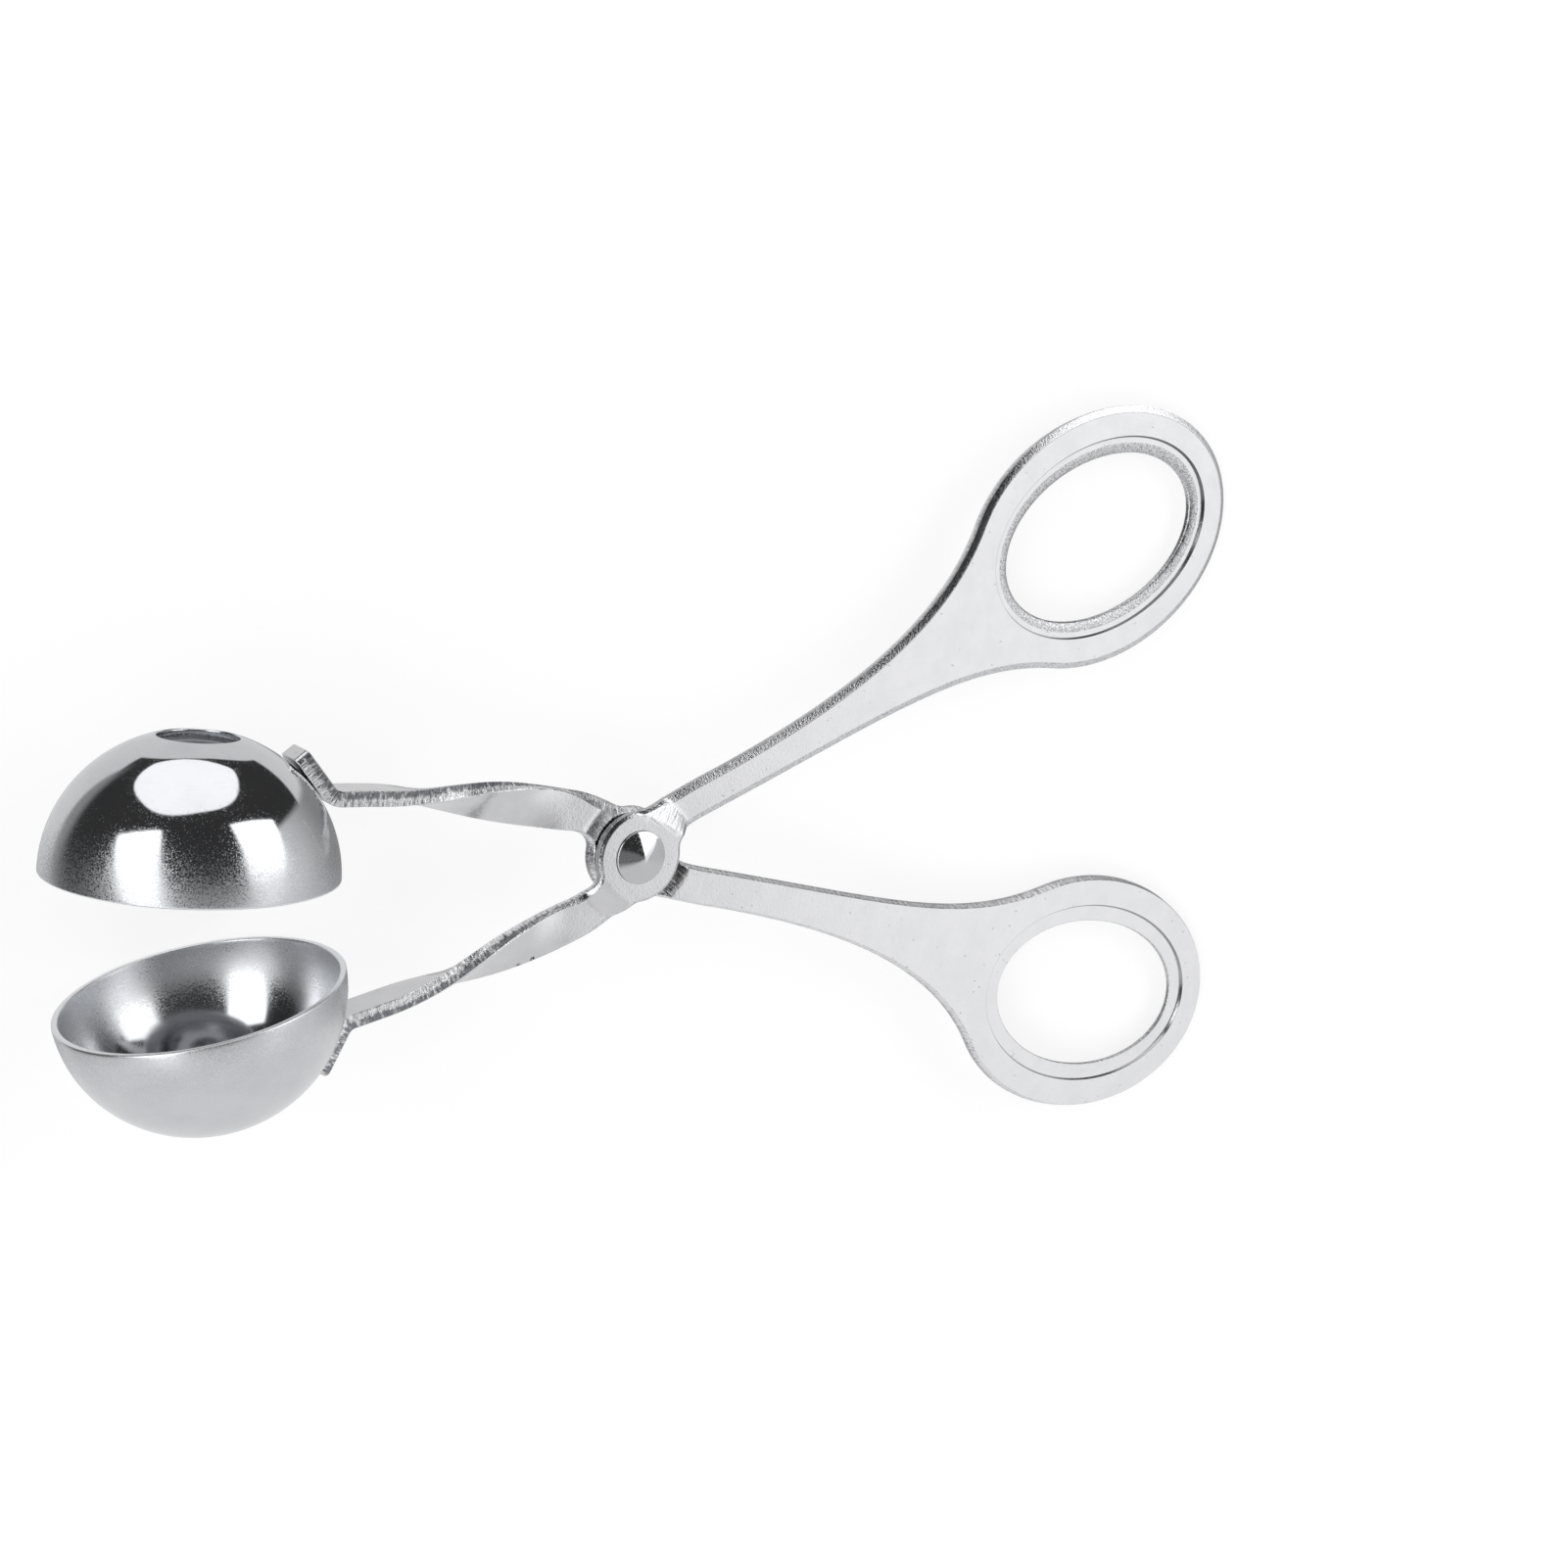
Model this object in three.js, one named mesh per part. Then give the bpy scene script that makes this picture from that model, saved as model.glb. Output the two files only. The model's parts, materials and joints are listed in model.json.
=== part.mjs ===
// Scissor tongs for shaping balls: two stamped levers on one rivet, each with a pressed bowl.
// Millimetres. The tongs lie on their side as they rest on a table, with the pivot axis close to +Z.
import * as THREE from 'three';

// Bowls
const BOWL_RADIUS = 17.75;           // outside
const BOWL_WALL = 0.8;
const VENT_RADIUS = 4.85;            // hole at the pole
const BOWL_REACH = 61.8;             // pivot to bowl centre
const RIM_GAP = 0.3;                 // between the two rims when shut

// Lever sheet
const SHEET = 2.0;
const DIE_ROLL = 0.55;               // rounding of the punched side's edge
const BURR_CHAMFER = 0.12;           // the other side's edge stays nearly sharp

// Pivot boss
const BOSS_RADIUS = 6.4;
const BOSS_GAP = 0.3;                // between the two bosses
const BOSS_LIFT = (SHEET + BOSS_GAP) / 2;
const JOGGLE_TURN = THREE.MathUtils.degToRad(40);  // the creases lie square to this direction
const JOGGLE_START = 6.3;
const JOGGLE_END = 8.8;
const JOGGLE_STEPS = 5;

// Rivet
const SHANK_RADIUS = 2.0;
const SHANK_CLEARANCE = 0.08;
const HEAD_RADIUS = 3.75;
const HEAD_EDGE = 0.15;              // upright band round the head
const HEAD_HEIGHT = 1.5;
const HEAD_TIP_RADIUS = 1.1;         // where the cone rounds over
const HEAD_GAP = 0.2;                // under the head and under the tail
const TAIL_RADIUS = 3.1;
const TAIL_HEIGHT = 1.0;

// Finger loop
const LOOP_REACH = 91.9;             // pivot to loop centre
const LOOP_ANGLE = THREE.MathUtils.degToRad(16.9);  // direction of the loop centre when shut
const LOOP_TURN = THREE.MathUtils.degToRad(8.6);    // direction of the loop's long axis when shut
const LIP_LONG = 21.8;               // half axes of the step round the hole
const LIP_SHORT = 14.7;
const LIP_WIDTH = 2.65;              // step to hole
const LIP_DEPTH = 0.45;              // pressed in from both faces
const LIP_DRAFT = 0.2;
const LOOP_BAND = 4.6;               // step to outer edge

// Handle strip, in the shut position
const STRIP_SLOPE = 0.19;
const STRIP_START = 12.5;            // where the strip leaves the boss
const STRIP_OUTER = 8.1;             // height of its outer edge there
const STRIP_WIDTH = 5.4;

// Arm
const ARM_WIDTH = 5.4;
const ARM_ROOT = new THREE.Vector2(-10.0, -6.35);
const ARM_FALL = THREE.MathUtils.degToRad(9);       // the arm leaves the boss falling by this much
const ARM_LEVEL = -9.3;              // height of the arm's middle where it reaches the bowl
const TWIST_START = 1.0;             // lengths along the arm
const TWIST_END = 29.0;
const TAB_LATITUDE = THREE.MathUtils.degToRad(39);  // where the tab touches the bowl, from its rim
const TAB_BEND_RADIUS = 2.2;
const TAB_PAST_WELD = 4.0;
const TAB_CORNER = 0.9;
const WELD_GAP = 0.2;

// Opening shown, each lever from shut
const HALF_OPENING = THREE.MathUtils.degToRad(6.92);

// Outline of the blank: arcs in degrees round the pivot or the loop, and how far each end of a blend
// between them runs straight on before it turns
const BOSS_ARC_UPPER = [186, 80];
const BOSS_ARC_LOWER = [-6, -98];
const LOOP_ARC = [148, -122];
const BLEND_ARM_UPPER = [2.4, 1.5];
const BLEND_STRIP_OUTER = [3.0, 4.5];
const BLEND_LOOP_OUTER = [35, 10.5];
const BLEND_LOOP_INNER = [17.5, 33];
const BLEND_STRIP_INNER = [4.4, 2.2];
const BLEND_ARM_LOWER = [1.6, 4.5];

const LOOP_STEPS = 48;
const BORE_STEPS = 24;
const ARM_STEP = 1.4;                // length between cross sections along the arm
const BEND_STEP = 0.4;
const ARC_STEPS = 10;
const BLEND_STEPS = 10;
const LOOP_BLEND_STEPS = 18;
const BOWL_STEPS = 48;
const BOWL_RINGS = 11;
const EDGE_STEPS = 2;
const HEAD_STEPS = 8;
const TAIL_STEPS = 6;

const loopCentre = new THREE.Vector2(Math.cos(LOOP_ANGLE), Math.sin(LOOP_ANGLE)).multiplyScalar(LOOP_REACH);

function loopPoint(inset, angle) {
  const long = LIP_LONG - inset;
  const short = LIP_SHORT - inset;
  const point = new THREE.Vector2(long * Math.cos(angle), short * Math.sin(angle));
  return point.rotateAround(new THREE.Vector2(), LOOP_TURN).add(loopCentre);
}

function loopHeading(angle) {
  const step = 1e-3;
  const ahead = loopPoint(-LOOP_BAND, angle - step);
  return ahead.sub(loopPoint(-LOOP_BAND, angle + step)).normalize();
}

// The arm's middle line: a falling curve, the bend into the tab, then the tab lying on the bowl.
const armHeading = new THREE.Vector2(-Math.cos(ARM_FALL), -Math.sin(ARM_FALL));
const tabHeading = new THREE.Vector2(-Math.sin(TAB_LATITUDE), -Math.cos(TAB_LATITUDE));
const tabNormal = new THREE.Vector2(Math.cos(TAB_LATITUDE), -Math.sin(TAB_LATITUDE));
const weldPoint = tabNormal.clone().multiplyScalar(BOWL_RADIUS + WELD_GAP + SHEET / 2);
weldPoint.x -= BOWL_REACH;
const tabCornerAhead = (weldPoint.y - ARM_LEVEL) / tabHeading.y;
const tabCorner = weldPoint.clone().addScaledVector(tabHeading, -tabCornerAhead);
const bendAngle = Math.PI / 2 - TAB_LATITUDE;
const bendReach = TAB_BEND_RADIUS * Math.tan(bendAngle / 2);
const bendStart = new THREE.Vector2(tabCorner.x + bendReach, ARM_LEVEL);
const armKnee = ARM_ROOT.clone().addScaledVector(armHeading, (ARM_LEVEL - ARM_ROOT.y) / armHeading.y);
const armCurve = new THREE.QuadraticBezierCurve(ARM_ROOT, armKnee, bendStart);
const curveLength = armCurve.getLength();
const bendLength = TAB_BEND_RADIUS * bendAngle;
const tabLength = tabCornerAhead - bendReach + TAB_PAST_WELD;
const armLength = curveLength + bendLength + tabLength;

function armFrame(length) {
  const along = Math.max(0, length);
  if (along <= curveLength) {
    const u = along / curveLength;
    return { point: armCurve.getPointAt(u), heading: armCurve.getTangentAt(u) };
  }
  const turned = Math.min(along - curveLength, bendLength) / TAB_BEND_RADIUS;
  const heading = new THREE.Vector2(-Math.cos(turned), -Math.sin(turned));
  const point = new THREE.Vector2(
    bendStart.x - TAB_BEND_RADIUS * Math.sin(turned),
    bendStart.y - TAB_BEND_RADIUS * (1 - Math.cos(turned)),
  );
  const straight = Math.max(0, along - curveLength - bendLength);
  return { point: point.addScaledVector(heading, straight), heading };
}

// Lengths along the arm that get a cross section, closer together through the bend.
function armStations() {
  const lengths = [];
  const last = armLength - TAB_CORNER;
  const spread = (from, to, step) => {
    const count = Math.ceil((to - from) / step);
    for (let i = 1; i <= count; i += 1) {
      lengths.push(from + (to - from) * i / count);
    }
  };
  spread(0, curveLength, ARM_STEP);
  spread(curveLength, curveLength + bendLength, BEND_STEP);
  spread(curveLength + bendLength, last, ARM_STEP);
  return lengths;
}

// Flat blank of a lever, clockwise from the arm's upper corner over the boss and round the loop.
function blankOutline() {
  const up = new THREE.Vector2(armHeading.y, -armHeading.x);
  const half = ARM_WIDTH / 2;
  const upperRoot = ARM_ROOT.clone().addScaledVector(up, half);
  const lowerRoot = ARM_ROOT.clone().addScaledVector(up, -half);
  const armEnd = ARM_ROOT.clone().addScaledVector(armHeading, armLength);
  const onBoss = (degrees) => new THREE.Vector2(BOSS_RADIUS, 0)
    .rotateAround(new THREE.Vector2(), THREE.MathUtils.degToRad(degrees));
  const bossHeading = (degrees) => onBoss(degrees - 90).normalize();
  const strip = new THREE.Vector2(1, STRIP_SLOPE).normalize();
  const outerStart = new THREE.Vector2(STRIP_START, STRIP_OUTER);
  const innerStart = new THREE.Vector2(strip.y, -strip.x).multiplyScalar(STRIP_WIDTH).add(outerStart);
  const [loopFrom, loopTo] = LOOP_ARC.map((degrees) => THREE.MathUtils.degToRad(degrees));
  const back = strip.clone().negate();
  const forth = armHeading.clone().negate();
  const outerEnd = loopPoint(-LOOP_BAND, loopFrom);
  const innerEnd = loopPoint(-LOOP_BAND, loopTo);
  const points = [];
  const addBlend = ([from, fromHeading], [to, toHeading], [fromReach, toReach], steps) => {
    const curve = new THREE.CubicBezierCurve(
      from,
      from.clone().addScaledVector(fromHeading, fromReach),
      to.clone().addScaledVector(toHeading, -toReach),
      to,
    );
    points.push(...curve.getPoints(steps).slice(1));
  };
  const bossEnd = (degrees) => [onBoss(degrees), bossHeading(degrees)];
  const addArc = ([fromDegrees, toDegrees]) => {
    for (let i = 1; i <= ARC_STEPS; i += 1) {
      points.push(onBoss(fromDegrees + (toDegrees - fromDegrees) * i / ARC_STEPS));
    }
  };
  addBlend([upperRoot, forth], bossEnd(BOSS_ARC_UPPER[0]), BLEND_ARM_UPPER, BLEND_STEPS);
  addArc(BOSS_ARC_UPPER);
  addBlend(bossEnd(BOSS_ARC_UPPER[1]), [outerStart, strip], BLEND_STRIP_OUTER, BLEND_STEPS);
  const outerMark = points.length - 1;
  addBlend([outerStart, strip], [outerEnd, loopHeading(loopFrom)], BLEND_LOOP_OUTER, LOOP_BLEND_STEPS);
  for (let i = 1; i <= LOOP_STEPS; i += 1) {
    points.push(loopPoint(-LOOP_BAND, loopFrom + (loopTo - loopFrom) * i / LOOP_STEPS));
  }
  addBlend([innerEnd, loopHeading(loopTo)], [innerStart, back], BLEND_LOOP_INNER, LOOP_BLEND_STEPS);
  const innerMark = points.length - 1;
  addBlend([innerStart, back], bossEnd(BOSS_ARC_LOWER[0]), BLEND_STRIP_INNER, BLEND_STEPS);
  addArc(BOSS_ARC_LOWER);
  addBlend(bossEnd(BOSS_ARC_LOWER[1]), [lowerRoot, armHeading], BLEND_ARM_LOWER, BLEND_STEPS);
  const rootMark = points.length - 1;
  const stations = armStations();
  for (const along of stations) {
    points.push(lowerRoot.clone().addScaledVector(armHeading, along));
  }
  for (const side of [-1, 1]) {
    for (let i = 1; i <= EDGE_STEPS; i += 1) {
      const turn = Math.PI / 2 * (side < 0 ? i : EDGE_STEPS - i) / EDGE_STEPS;
      const across = side * (half - TAB_CORNER * (1 - Math.cos(turn)));
      const short = TAB_CORNER * (1 - Math.sin(turn));
      points.push(armEnd.clone().addScaledVector(up, across).addScaledVector(armHeading, -short));
    }
  }
  for (const along of stations.slice(0, -1).reverse()) {
    points.push(upperRoot.clone().addScaledVector(armHeading, along));
  }
  points.push(upperRoot);
  return { points, outerMark, innerMark, rootMark, rungs: stations.length };
}

// Outline moved inwards; the outline runs clockwise.
function insetOutline(points, distance) {
  return points.map((point, i) => {
    const before = points[(i + points.length - 1) % points.length];
    const after = points[(i + 1) % points.length];
    const a = point.clone().sub(before).normalize();
    const b = after.clone().sub(point).normalize();
    const inward = new THREE.Vector2(a.y + b.y, -a.x - b.x);
    const miter = 2 / Math.max(inward.lengthSq(), 1);
    return point.clone().addScaledVector(inward, distance * miter);
  });
}

function ringOf(steps, at) {
  return Array.from({ length: steps }, (_, i) => at(2 * Math.PI * i / steps));
}

const lift = (ring, z) => ring.map((point) => new THREE.Vector3(point.x, point.y, z));

// Walls between rings of equal length.
function addWalls(triangles, rings) {
  for (let k = 0; k + 1 < rings.length; k += 1) {
    const low = rings[k];
    const high = rings[k + 1];
    for (let i = 0; i < low.length; i += 1) {
      const j = (i + 1) % low.length;
      triangles.push([low[i], high[i], high[j]], [low[i], high[j], low[j]]);
    }
  }
}

function addFace(triangles, outer, holes, upward) {
  const flat = (ring) => ring.map((point) => new THREE.Vector2(point.x, point.y));
  const all = [...outer, ...holes.flat()];
  for (const [a, b, c] of THREE.ShapeUtils.triangulateShape(flat(outer), holes.map(flat))) {
    const u = all[b].clone().sub(all[a]);
    const v = all[c].clone().sub(all[a]);
    const facesUp = u.x * v.y - u.y * v.x > 0;
    triangles.push(facesUp === upward ? [all[a], all[b], all[c]] : [all[a], all[c], all[b]]);
  }
}

// Cuts every triangle along the plane dot(normal, p) = offset.
function cutAlong(triangles, normal, offset) {
  const side = (point) => point.x * normal.x + point.y * normal.y - offset;
  const meet = (p, q) => {
    const swap = p.x > q.x || (p.x === q.x && (p.y > q.y || (p.y === q.y && p.z > q.z)));
    const from = swap ? q : p;
    const to = swap ? p : q;
    return from.clone().lerp(to, side(from) / (side(from) - side(to)));
  };
  const close = 1e-7;
  const result = [];
  for (const triangle of triangles) {
    const d = triangle.map(side);
    if (!(d.some((v) => v > close) && d.some((v) => v < -close))) {
      result.push(triangle);
      continue;
    }
    const parts = [[], []];
    triangle.forEach((point, i) => {
      const j = (i + 1) % 3;
      if (d[i] >= -close) {
        parts[0].push(point);
      }
      if (d[i] <= close) {
        parts[1].push(point);
      }
      if ((d[i] > close && d[j] < -close) || (d[i] < -close && d[j] > close)) {
        const cut = meet(point, triangle[j]);
        parts[0].push(cut);
        parts[1].push(cut);
      }
    });
    for (const part of parts) {
      for (let k = 1; k + 1 < part.length; k += 1) {
        result.push([part[0], part[k], part[k + 1]]);
      }
    }
  }
  return result;
}

// Flat point of the blank to its place on the pressed, twisted and bent lever.
function press(point) {
  const flat = new THREE.Vector2(point.x, point.y);
  const fromRoot = flat.clone().sub(ARM_ROOT);
  const along = fromRoot.dot(armHeading);
  if (along <= 0) {
    const reach = Math.abs(point.x * Math.cos(JOGGLE_TURN) + point.y * Math.sin(JOGGLE_TURN));
    const raised = BOSS_LIFT * (1 - THREE.MathUtils.smoothstep(reach, JOGGLE_START, JOGGLE_END));
    return new THREE.Vector3(point.x, point.y, point.z + raised);
  }
  const across = fromRoot.dot(new THREE.Vector2(armHeading.y, -armHeading.x));
  const { point: middle, heading } = armFrame(along);
  const twist = Math.PI / 2 * THREE.MathUtils.smoothstep(along, TWIST_START, TWIST_END);
  const sideways = across * Math.cos(twist) - point.z * Math.sin(twist);
  const upwards = across * Math.sin(twist) + point.z * Math.cos(twist);
  return new THREE.Vector3(middle.x + heading.y * sideways, middle.y - heading.x * sideways, upwards);
}

function toGeometry(triangles) {
  const index = [];
  const positions = [];
  const seen = new Map();
  const key = (point) => point.toArray().map((v) => Math.round(v * 1e5)).join();
  for (const triangle of triangles) {
    const ids = triangle.map((point) => {
      const name = key(point);
      if (!seen.has(name)) {
        seen.set(name, positions.length / 3);
        positions.push(...point.toArray());
      }
      return seen.get(name);
    });
    if (new Set(ids).size === 3) {
      index.push(...ids);
    }
  }
  const geometry = new THREE.BufferGeometry();
  geometry.setAttribute('position', new THREE.Float32BufferAttribute(positions, 3));
  geometry.setIndex(index);
  return geometry;
}

// One lever as it lies when shut, its loop towards +Y and its bowl towards -Y, punched side up.
function leverGeometry() {
  const top = SHEET / 2;
  const { points: outline, outerMark, innerMark, rootMark, rungs } = blankOutline();
  const sides = [lift(insetOutline(outline, BURR_CHAMFER), -top), lift(outline, BURR_CHAMFER - top)];
  for (let i = 0; i <= EDGE_STEPS; i += 1) {
    const turn = Math.PI / 2 * i / EDGE_STEPS;
    const inset = DIE_ROLL * (1 - Math.cos(turn));
    const ring = i === 0 ? outline : insetOutline(outline, inset);
    sides.push(lift(ring, top - DIE_ROLL * (1 - Math.sin(turn))));
  }
  const step = ringOf(LOOP_STEPS, (angle) => loopPoint(0, angle));
  const foot = ringOf(LOOP_STEPS, (angle) => loopPoint(LIP_DRAFT, angle));
  const hole = ringOf(LOOP_STEPS, (angle) => loopPoint(LIP_WIDTH, angle));
  const loop = [
    lift(step, -top),
    lift(foot, LIP_DEPTH - top),
    lift(hole, LIP_DEPTH - top),
    lift(hole, top - LIP_DEPTH),
    lift(foot, top - LIP_DEPTH),
    lift(step, top),
  ];
  const boreRadius = SHANK_RADIUS + SHANK_CLEARANCE;
  const bore = ringOf(BORE_STEPS, (angle) => new THREE.Vector2(Math.cos(angle), Math.sin(angle))
    .multiplyScalar(boreRadius));
  const boreWalls = [lift(bore, -top), lift(bore, top)];
  let triangles = [];
  addWalls(triangles, sides);
  addWalls(triangles, loop);
  addWalls(triangles, boreWalls);
  const faces = [[sides[0], loop[0], boreWalls[0], false], [sides.at(-1), loop.at(-1), boreWalls[1], true]];
  for (const [edge, loopEdge, boreEdge, upward] of faces) {
    const boss = [edge.at(-1), ...edge.slice(0, outerMark + 1), ...edge.slice(innerMark, rootMark + 1)];
    addFace(triangles, boss, [boreEdge], upward);
    addFace(triangles, edge.slice(outerMark, innerMark + 1), [loopEdge], upward);
    const arm = edge.slice(rootMark);
    for (let i = 0; i < rungs; i += 1) {
      addFace(triangles, [arm[i], arm[i + 1], arm.at(-2 - i), arm.at(-1 - i)], [], upward);
    }
    addFace(triangles, arm.slice(rungs, -rungs), [], upward);
  }
  const crease = new THREE.Vector2(Math.cos(JOGGLE_TURN), Math.sin(JOGGLE_TURN));
  for (let i = 0; i <= JOGGLE_STEPS; i += 1) {
    const reach = JOGGLE_START + (JOGGLE_END - JOGGLE_START) * i / JOGGLE_STEPS;
    triangles = cutAlong(triangles, crease, reach);
    triangles = cutAlong(triangles, crease, -reach);
  }
  return toGeometry(triangles.map((triangle) => triangle.map(press)));
}

// Hemisphere with its pole towards -Y and its centre on the shut parting line.
function bowlGeometry() {
  const inner = BOWL_RADIUS - BOWL_WALL;
  const profile = [];
  const outerVent = Math.asin(VENT_RADIUS / BOWL_RADIUS);
  const innerVent = Math.asin(VENT_RADIUS / inner);
  const flush = Math.asin(RIM_GAP / 2 / BOWL_RADIUS);
  const innerFlush = Math.asin(RIM_GAP / 2 / inner);
  for (let i = 0; i <= BOWL_RINGS; i += 1) {
    const polar = outerVent + (Math.PI / 2 - flush - outerVent) * i / BOWL_RINGS;
    profile.push(new THREE.Vector2(BOWL_RADIUS * Math.sin(polar), -BOWL_RADIUS * Math.cos(polar)));
  }
  for (let i = BOWL_RINGS; i >= 0; i -= 1) {
    const polar = innerVent + (Math.PI / 2 - innerFlush - innerVent) * i / BOWL_RINGS;
    profile.push(new THREE.Vector2(inner * Math.sin(polar), -inner * Math.cos(polar)));
  }
  profile.push(profile[0].clone());
  return new THREE.LatheGeometry(profile, BOWL_STEPS).translate(-BOWL_REACH, 0, 0);
}

// Rivet along Z, its head up.
function rivetGeometry() {
  const under = BOSS_LIFT + SHEET / 2 + HEAD_GAP;
  const cone = under + HEAD_EDGE;
  const tipLevel = under + HEAD_HEIGHT;
  const profile = [new THREE.Vector2(0, -under - TAIL_HEIGHT)];
  for (let i = 1; i <= TAIL_STEPS; i += 1) {
    const turn = Math.PI / 2 * i / TAIL_STEPS;
    profile.push(new THREE.Vector2(TAIL_RADIUS * Math.sin(turn), -under - TAIL_HEIGHT * Math.cos(turn)));
  }
  profile.push(new THREE.Vector2(SHANK_RADIUS, -under));
  profile.push(new THREE.Vector2(SHANK_RADIUS, under));
  profile.push(new THREE.Vector2(HEAD_RADIUS, under));
  profile.push(new THREE.Vector2(HEAD_RADIUS, cone));
  const slope = (tipLevel - cone) / HEAD_RADIUS;
  for (let i = 1; i <= HEAD_STEPS; i += 1) {
    const radius = HEAD_RADIUS * (1 - i / HEAD_STEPS);
    const rounding = slope * HEAD_TIP_RADIUS / 2 * Math.max(0, 1 - radius / HEAD_TIP_RADIUS) ** 2;
    profile.push(new THREE.Vector2(radius, tipLevel - slope * radius - rounding));
  }
  return new THREE.LatheGeometry(profile, BORE_STEPS).rotateX(Math.PI / 2);
}

function sealed(geometry) {
  const source = geometry.index ? geometry.toNonIndexed() : geometry;
  const position = source.getAttribute('position');
  const triangles = [];
  for (let i = 0; i < position.count; i += 3) {
    triangles.push([0, 1, 2].map((k) => new THREE.Vector3().fromBufferAttribute(position, i + k)));
  }
  return toGeometry(triangles);
}

// Thumb side opens by turning one way, finger side is the same piece turned over and opened the other way.
const thumbPlace = new THREE.Matrix4().makeRotationZ(HALF_OPENING);
const fingerPlace = new THREE.Matrix4().makeRotationZ(-HALF_OPENING)
  .multiply(new THREE.Matrix4().makeRotationX(Math.PI));

const lever = leverGeometry();
const bowl = sealed(bowlGeometry());
const pieces = {
  thumb_lever: lever.clone().applyMatrix4(thumbPlace),
  finger_lever: lever.clone().applyMatrix4(fingerPlace),
  scoop_bowl: bowl.clone().applyMatrix4(thumbPlace),
  cap_bowl: bowl.clone().applyMatrix4(fingerPlace),
  pivot_rivet: sealed(rivetGeometry()),
};

// Laid down: the bowls' sides and the far edges of the loops touch the table.
const loopTip = new THREE.Box3().setFromBufferAttribute(pieces.thumb_lever.getAttribute('position')).max.x;
const reach = loopTip + BOWL_REACH * Math.cos(HALF_OPENING);
const settle = Math.asin(BOWL_RADIUS / Math.hypot(reach, SHEET / 2)) - Math.atan2(SHEET / 2, reach);
const laid = new THREE.Matrix4().makeRotationY(settle);
const extent = new THREE.Box3();
for (const geometry of Object.values(pieces)) {
  geometry.applyMatrix4(laid);
  extent.union(new THREE.Box3().setFromBufferAttribute(geometry.getAttribute('position')));
}
const middle = extent.getCenter(new THREE.Vector3());

const tongs = new THREE.Group();
tongs.name = 'meatball_tongs';
for (const [name, geometry] of Object.entries(pieces)) {
  geometry.translate(-middle.x, -middle.y, -extent.min.z);
  geometry.computeVertexNormals();
  const mesh = new THREE.Mesh(geometry);
  mesh.name = name;
  tongs.add(mesh);
}

export default tongs;
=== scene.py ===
import cmath
import json
import math

import bmesh
import bpy
import numpy as np
from mathutils import Matrix, Vector
from mathutils.geometry import delaunay_2d_cdt


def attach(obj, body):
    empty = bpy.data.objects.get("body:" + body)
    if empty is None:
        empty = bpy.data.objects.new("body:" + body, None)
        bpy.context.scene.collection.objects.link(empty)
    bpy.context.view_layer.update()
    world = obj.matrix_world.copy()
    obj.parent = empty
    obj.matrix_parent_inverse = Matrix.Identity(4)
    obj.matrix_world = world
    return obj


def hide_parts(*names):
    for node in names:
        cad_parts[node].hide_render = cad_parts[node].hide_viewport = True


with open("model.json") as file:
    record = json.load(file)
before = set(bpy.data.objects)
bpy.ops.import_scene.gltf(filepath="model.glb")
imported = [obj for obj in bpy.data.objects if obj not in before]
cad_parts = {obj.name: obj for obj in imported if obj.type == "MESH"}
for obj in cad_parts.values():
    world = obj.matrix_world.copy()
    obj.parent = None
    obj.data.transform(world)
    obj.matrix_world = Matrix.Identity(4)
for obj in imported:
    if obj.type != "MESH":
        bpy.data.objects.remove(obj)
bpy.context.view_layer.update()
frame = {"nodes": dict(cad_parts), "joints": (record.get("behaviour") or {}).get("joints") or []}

mm = 0.001
scene = bpy.context.scene
scene.view_settings.view_transform = "Standard"
print("frame loaded:", sorted(frame["nodes"]))

# The pivot carries both levers: everything below is drawn shut, in millimetres from the pivot
hinge = frame["joints"][0]
halfOpening = 6.92  # degrees from shut, each lever
pivotAxis = Vector(hinge["axis"]).normalized()
acrossAxis = Vector((0, 1, 0))
alongAxis = acrossAxis.cross(pivotAxis)
laid = Matrix((alongAxis, acrossAxis, pivotAxis)).transposed().to_4x4()
laid.translation = Vector(hinge["pos_m"])
laid = laid @ Matrix.Scale(mm, 4)
opened = math.radians(halfOpening)
turnedOver = Matrix.Rotation(math.pi, 4, "X")
places = {
    "thumb_side": laid @ Matrix.Rotation(opened, 4, "Z"),
    "finger_side": laid @ Matrix.Rotation(-opened, 4, "Z") @ turnedOver,
}
pile = {"sheet": 2.0, "gap": 0.3}  # the two bosses that the rivet holds


# Shader sockets

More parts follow.
